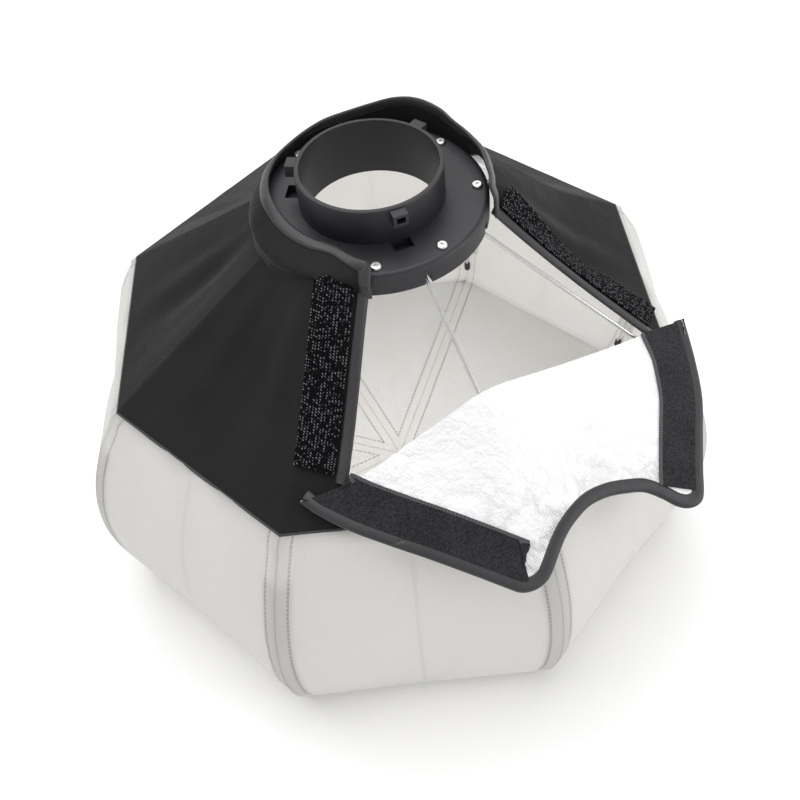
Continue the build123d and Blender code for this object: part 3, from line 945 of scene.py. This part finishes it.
class SOFTBOX_OT_flap(bpy.types.Operator):
    """Sew the flap, with its silver face, loop strips and binding"""

    bl_idname = "softbox.flap"
    bl_label = "Access flap"

    def execute(self, context):
        for part, body in (("flap", "flap"), ("tail", "flap_tail")):
            tail = part == "tail"
            mesh = flap_grid(96, 48, 0.0, 1.0, 0.0)
            split_at_bend(mesh, tail)
            size, area = flat_cut(mesh)
            sheet = to_piece(mesh, f"{part}_sheet", ["silver_cloth", "black_cloth"], 0.0022, outward=off_flap)
            folds_with_flap(sheet, body)
            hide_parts(f"{part}_panel", f"{part}_lining")

            for side, (first, last) in LOOP_SHARES.items():
                def plan(share, wide, side=side, first=first, last=last):
                    inset = 0.006 + LOOP_WIDE * wide
                    near = smooth(1 - share / 0.2) if side == "left" else smooth(share / 0.2 - 4)
                    square = edge_point(FREE_EDGE, first + (last - first) * share, inset)
                    slanted = edge_point(FREE_EDGE, first + (last - first) * share)
                    slanted += Vector((0.98, 0.10) if side == "left" else (-0.98, -0.14)) * inset * 1.12
                    return square.lerp(slanted, near)

                def place(share, wide, plan=plan):
                    return on_flap(*plan(share, wide), 0.0012)

                def pattern(share, wide, side=side):
                    return Vector((LOOP_WIDE * wide, share * LOOP_LONG[side]))

                mesh = cut_cloth(48, 8, place, pattern)
                split_at_bend(mesh, tail)
                size, area = flat_cut(mesh)
                strip = to_piece(mesh, f"{part}_loop_tape_{side}", ["loop_tape"], 0.0011, outward=off_flap)
                folds_with_flap(strip, body)
                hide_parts(f"{part}_loop_strip_{side}")

            def centre(share):
                return on_flap(*edge_point(FREE_EDGE, share, 0.004), -0.0010)

            def width(share):
                outer = on_flap(*edge_point(FREE_EDGE, share))
                return (outer - on_flap(*edge_point(FREE_EDGE, share, 0.004))).normalized()

            def facing(share):
                run = (centre(min(share + 0.004, 1)) - centre(max(share - 0.004, 0))).normalized()
                normal = run.cross(width(share)).normalized()
                return normal if normal.dot(FLAP_UP) > 0 else -normal

            binding = tape(f"{part}_edge_binding", centre, width, facing, 0.0098, 0.0036, 300)
            solid = bmesh.new()
            solid.from_mesh(binding.data)
            split_at_bend(solid, tail)
            bmesh.ops.holes_fill(solid, edges=[edge for edge in solid.edges if edge.is_boundary], sides=0)
            solid.to_mesh(binding.data)
            solid.free()
            folds_with_flap(binding, body)
            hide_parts(f"{part}_binding")
        return {"FINISHED"}


class SOFTBOX_OT_front(bpy.types.Operator):
    """Sew the white front face, the stay sleeves and the corner pockets"""

    bl_idname = "softbox.front"
    bl_label = "Front face"

    def execute(self, context):
        for number, corner in enumerate(CORNERS, start=1):
            def place(across, out, corner=corner):
                azimuth = corner + SIDE * (across - 0.5)
                radius = ring_radius(wall_corner(0), azimuth) * max(out, 0.004)
                return spot(azimuth, radius, 0.0006 + 0.0006 * sin(pi * out) * between(azimuth))

            def pattern(across, out):
                wide = (across - 0.5) * 2 * wall_corner(0) * sin(HALF) * max(out, 0.004)
                return Vector((wide, out * wall_corner(0)))

            mesh = cut_cloth(24, 30, place, pattern)
            size, area = flat_cut(mesh)
            face = to_piece(mesh, f"front_gore_{number}", ["white_cloth"], 0.0006, outward=upwards)
            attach(face, "hub_and_shell")
            tuple(spot(corner, 1, 0))
            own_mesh(face)
            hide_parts("front_diffuser")

            def sleeve_place(across, up, corner=corner):
                z = 0.030 + 0.140 * up
                side = (across - 0.5) * 0.020
                swell = 0.0044 * (1 - (2 * across - 1) ** 2)
                base = spot(corner, wall_corner(z) - 0.0020 - swell, z)
                turn = Vector((-sin(radians(corner)), cos(radians(corner)), 0))
                return base + turn * side - spot(corner, abs(side) * tan(HALF), 0)

            def sleeve_pattern(across, up):
                return Vector(((across - 0.5) * 0.0225, 0.155 * up))

            mesh = cut_cloth(12, 40, sleeve_place, sleeve_pattern)
            size, area = flat_cut(mesh)
            sleeve = to_piece(mesh, f"stay_sleeve_{number}", ["white_cloth"], 0.0005, outward=inwards)
            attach(sleeve, f"stay_arm_{number}")
            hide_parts("rod_sleeves")

            pocket = bmesh.new()
            bmesh.ops.create_circle(pocket, cap_ends=True, segments=16, radius=0.0030)
            raised = bmesh.ops.extrude_face_region(pocket, geom=pocket.faces[:])
            top = [item for item in raised["geom"] if isinstance(item, bmesh.types.BMVert)]
            bmesh.ops.translate(pocket, verts=top, vec=(0, 0, 0.0080))
            rim_edges = [e for e in pocket.edges if all(len(v.link_edges) == 3 for v in e.verts)]
            bmesh.ops.bevel(
                pocket, geom=rim_edges, offset=0.0008, segments=2, affect="EDGES", profile=0.5, material=-1)
            pocket.loops.layers.uv.new("cut")
            lean = spot(corner, wall_corner(0.016) - 0.0056, 0.0105)
            bmesh.ops.translate(pocket, verts=pocket.verts, vec=lean)
            bmesh.ops.recalc_face_normals(pocket, faces=pocket.faces)
            cup = to_piece(pocket, f"corner_pocket_{number}", ["binding_tape"])
            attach(cup, f"stay_arm_{number}")
            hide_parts("corner_pockets")
        return {"FINISHED"}


class SOFTBOX_OT_stage(bpy.types.Operator):
    """Set up the floor, the light and the camera"""

    bl_idname = "softbox.stage"
    bl_label = "Stage"

    def execute(self, context):
        scene = context.scene
        look = scene.softbox_stage
        ground = bmesh.new()
        bmesh.ops.create_grid(ground, x_segments=1, y_segments=1, size=6)
        data = bpy.data.meshes.new("floor")
        ground.to_mesh(data)
        ground.free()
        floor = bpy.data.objects.new("floor", data)
        scene.collection.objects.link(floor)
        paper = Finish("floor_paper", roughness=0.9, specular_ior_level=0.1)
        paper.set(base_color=paper.mix(paper.noise(2, 2), (0.93, 0.93, 0.93), (0.95, 0.95, 0.95)))
        data.materials.append(paper.material)

        world = bpy.data.worlds.new("surround")
        world.use_nodes = True
        world.node_tree.nodes["Background"].inputs["Color"].default_value = (1, 1, 1, 1)
        world.node_tree.nodes["Background"].inputs["Strength"].default_value = look.surround
        scene.world = world
        sun = bpy.data.objects.new("key", bpy.data.lights.new("key", "SUN"))
        sun.data.energy = look.key
        sun.data.angle = radians(70)
        sun.rotation_euler = Vector((-0.16, 0.34, 1.0)).to_track_quat("Z", "Y").to_euler()
        scene.collection.objects.link(sun)
        for name, place, aim, size, power in (
            ("side", (1.5, -0.5, 0.7), (0, 0, 0.15), 0.9, look.side),
            ("inside", (0, 0, 0.285), (0, 0, 0), 0.13, look.inside),
        ):
            lamp = bpy.data.objects.new(name, bpy.data.lights.new(name, "AREA"))
            lamp.data.size = size
            lamp.data.energy = power
            lamp.location = place
            lamp.rotation_euler = (Vector(aim) - Vector(place)).to_track_quat("-Z", "Y").to_euler()
            scene.collection.objects.link(lamp)

        camera = bpy.data.objects.new("camera", bpy.data.cameras.new("camera"))
        scene.collection.objects.link(camera)
        back = Vector((0, -cos(look.elevation), sin(look.elevation)))
        up = Vector((0, sin(look.elevation), cos(look.elevation)))
        right = Vector((1, 0, 0))
        turned = right * cos(look.roll) + up * sin(look.roll)
        upright = up * cos(look.roll) - right * sin(look.roll)
        camera.matrix_world = Matrix.Translation(Vector((0, 0, 0.1764)) + back * look.distance) @ Matrix(
            (turned, upright, back)).transposed().to_4x4()
        camera.data.sensor_width = 36
        camera.data.lens = 46.65
        camera.data.shift_x = 0.0176
        camera.data.shift_y = -0.0976
        camera.data.clip_start = 0.01
        scene.camera = camera
        scene.view_settings.view_transform = "Standard"
        return {"FINISHED"}


BUILDERS = (
    SOFTBOX_OT_hub, SOFTBOX_OT_frame, SOFTBOX_OT_wall, SOFTBOX_OT_cover, SOFTBOX_OT_collar,
    SOFTBOX_OT_opening, SOFTBOX_OT_flap, SOFTBOX_OT_front, SOFTBOX_OT_stage,
)


class SOFTBOX_PT_panel(bpy.types.Panel):
    """Sizes, colours and the pieces to build"""

    bl_idname = "SOFTBOX_PT_panel"
    bl_label = "Softbox"
    bl_space_type = "VIEW_3D"
    bl_region_type = "UI"
    bl_category = "Softbox"

    def draw(self, context):
        for group in (context.scene.softbox_cloth, context.scene.softbox_stage):
            for name in group.__annotations__:
                self.layout.prop(group, name)
        for builder in BUILDERS:
            self.layout.operator(builder.bl_idname)


CLASSES = (SoftboxCloth, SoftboxStage, *BUILDERS, SOFTBOX_PT_panel)


def register():
    for entry in CLASSES:
        bpy.utils.register_class(entry)
    bpy.types.Scene.softbox_cloth = bpy.props.PointerProperty(type=SoftboxCloth)
    bpy.types.Scene.softbox_stage = bpy.props.PointerProperty(type=SoftboxStage)


def unregister():
    del bpy.types.Scene.softbox_stage
    del bpy.types.Scene.softbox_cloth
    for entry in reversed(CLASSES):
        bpy.utils.unregister_class(entry)


def main():
    register()
    bpy.ops.softbox.hub()
    bpy.ops.softbox.frame()
    bpy.ops.softbox.wall()
    bpy.ops.softbox.cover()
    bpy.ops.softbox.collar()
    bpy.ops.softbox.opening()
    bpy.ops.softbox.flap()
    bpy.ops.softbox.front()
    bpy.ops.softbox.stage()


if __name__ == "__main__":
    main()
